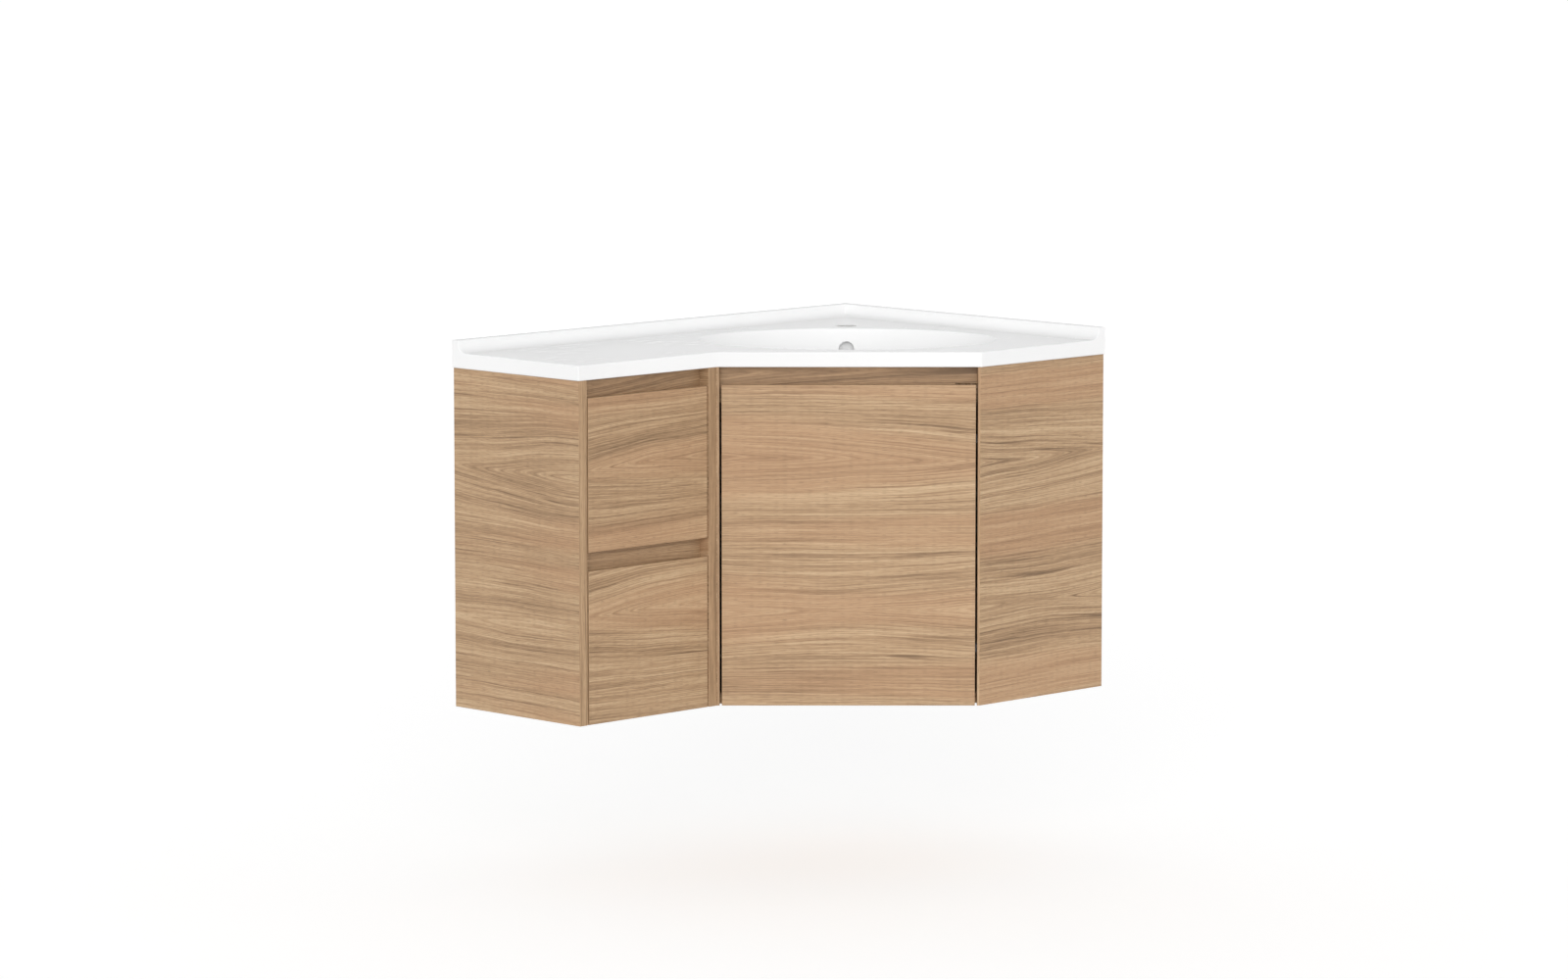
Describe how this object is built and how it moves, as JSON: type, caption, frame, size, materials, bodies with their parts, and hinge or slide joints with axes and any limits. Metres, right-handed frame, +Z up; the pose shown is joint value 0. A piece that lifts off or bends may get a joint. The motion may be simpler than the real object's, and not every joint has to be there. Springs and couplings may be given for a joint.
{
  "type": "corner vanity unit",
  "caption": "Wall-hung corner vanity unit with a drawer wing, a diagonal cupboard door and a one-piece top with upstand and oval bowl.",
  "frame": {"origin": "middle of the bounding box at the level of the cabinet's underside", "axes": "+Z up, +X along the long wall towards the room corner, +Y towards the long wall; the short wall is at the greatest X"},
  "size_m": [0.9, 0.5964, 0.595],
  "materials": {
    "oak_board": "light oak woodgrain on moisture-resistant board",
    "lining_board": "white melamine on board",
    "zinc_plated_steel": "bright zinc plating",
    "runner_steel": "rolled galvanised steel",
    "cast_white": "white cast top, gloss gel coat",
    "chrome": "polished chrome",
    "soft_rubber": "moulded",
    "birch": "turned hardwood dowel"
  },
  "bodies": {
    "cabinet": {"left_end_panel": "oak_board", "drawer_gable": "oak_board", "corner_gable": "oak_board", "right_end_panel": "oak_board", "drawer_bay_base": "oak_board", "corner_base": "oak_board", "drawer_top_rail": "oak_board", "drawer_mid_rail": "oak_board", "door_pull_rail": "oak_board", "drawer_bay_back": "lining_board", "corner_back_long": "lining_board", "corner_back_short": "lining_board", "hanging_rail_drawers": "lining_board", "hanging_rail_long": "lining_board", "hanging_rail_short": "lining_board", "lower_rail_drawers": "lining_board", "lower_rail_long": "lining_board", "lower_rail_short": "lining_board", "cam_locks": "zinc_plated_steel", "cam_bolts": "zinc_plated_steel", "joining_sleeves": "zinc_plated_steel", "joining_screws": "zinc_plated_steel", "pull_rail_brackets": "zinc_plated_steel", "hinge_plates": "zinc_plated_steel", "hinge_arms": "zinc_plated_steel", "hinge_fixing_screws": "zinc_plated_steel", "upper_runner_fixed": "runner_steel", "lower_runner_fixed": "runner_steel", "vanity_top": "cast_white", "vanity_bowl": "cast_white", "overflow_channel": "cast_white", "waste_body": "chrome", "waste_nut": "chrome", "waste_seal": "soft_rubber"},
    "door": {"door_panel": "oak_board", "hinge_cups": "zinc_plated_steel", "hinge_pins": "zinc_plated_steel", "cup_screws": "zinc_plated_steel", "door_buffers": "soft_rubber"},
    "upper_drawer": {"upper_drawer_front": "oak_board", "upper_drawer_left_side": "lining_board", "upper_drawer_right_side": "lining_board", "upper_drawer_back": "lining_board", "upper_drawer_bottom": "lining_board", "upper_drawer_dowels": "birch", "upper_runner_inner": "runner_steel"},
    "upper_runner_slide": {"upper_runner_middle": "runner_steel"},
    "lower_drawer": {"lower_drawer_front": "oak_board", "lower_drawer_left_side": "lining_board", "lower_drawer_right_side": "lining_board", "lower_drawer_back": "lining_board", "lower_drawer_bottom": "lining_board", "lower_drawer_dowels": "birch", "lower_runner_inner": "runner_steel"},
    "lower_runner_slide": {"lower_runner_middle": "runner_steel"},
    "plug": {"waste_plug": "chrome"}
  },
  "joints": [
    {"name": "door_swing", "type": "hinge", "parent": "cabinet", "child": "door", "pos_m": [0.14781, -0.27333, 0.26], "axis": [0, 0, 1], "range_deg": [0, 95]},
    {"name": "upper_drawer_pull", "type": "slide", "parent": "cabinet", "child": "upper_drawer", "axis": [0, -1, 0], "range_m": [0, 0.23]},
    {"name": "upper_runner_travel", "type": "slide", "parent": "cabinet", "child": "upper_runner_slide", "axis": [0, -1, 0], "range_m": [0, 0.115]},
    {"name": "lower_drawer_pull", "type": "slide", "parent": "cabinet", "child": "lower_drawer", "axis": [0, -1, 0], "range_m": [0, 0.23]},
    {"name": "lower_runner_travel", "type": "slide", "parent": "cabinet", "child": "lower_runner_slide", "axis": [0, -1, 0], "range_m": [0, 0.115]},
    {"name": "plug_lift", "type": "slide", "parent": "cabinet", "child": "plug", "axis": [0, 0, 1], "range_m": [0, 0.008]}
  ],
  "couplings": [
    {"joint": "upper_runner_travel", "follows": "upper_drawer_pull", "ratio": 0.5},
    {"joint": "lower_runner_travel", "follows": "lower_drawer_pull", "ratio": 0.5}
  ]
}
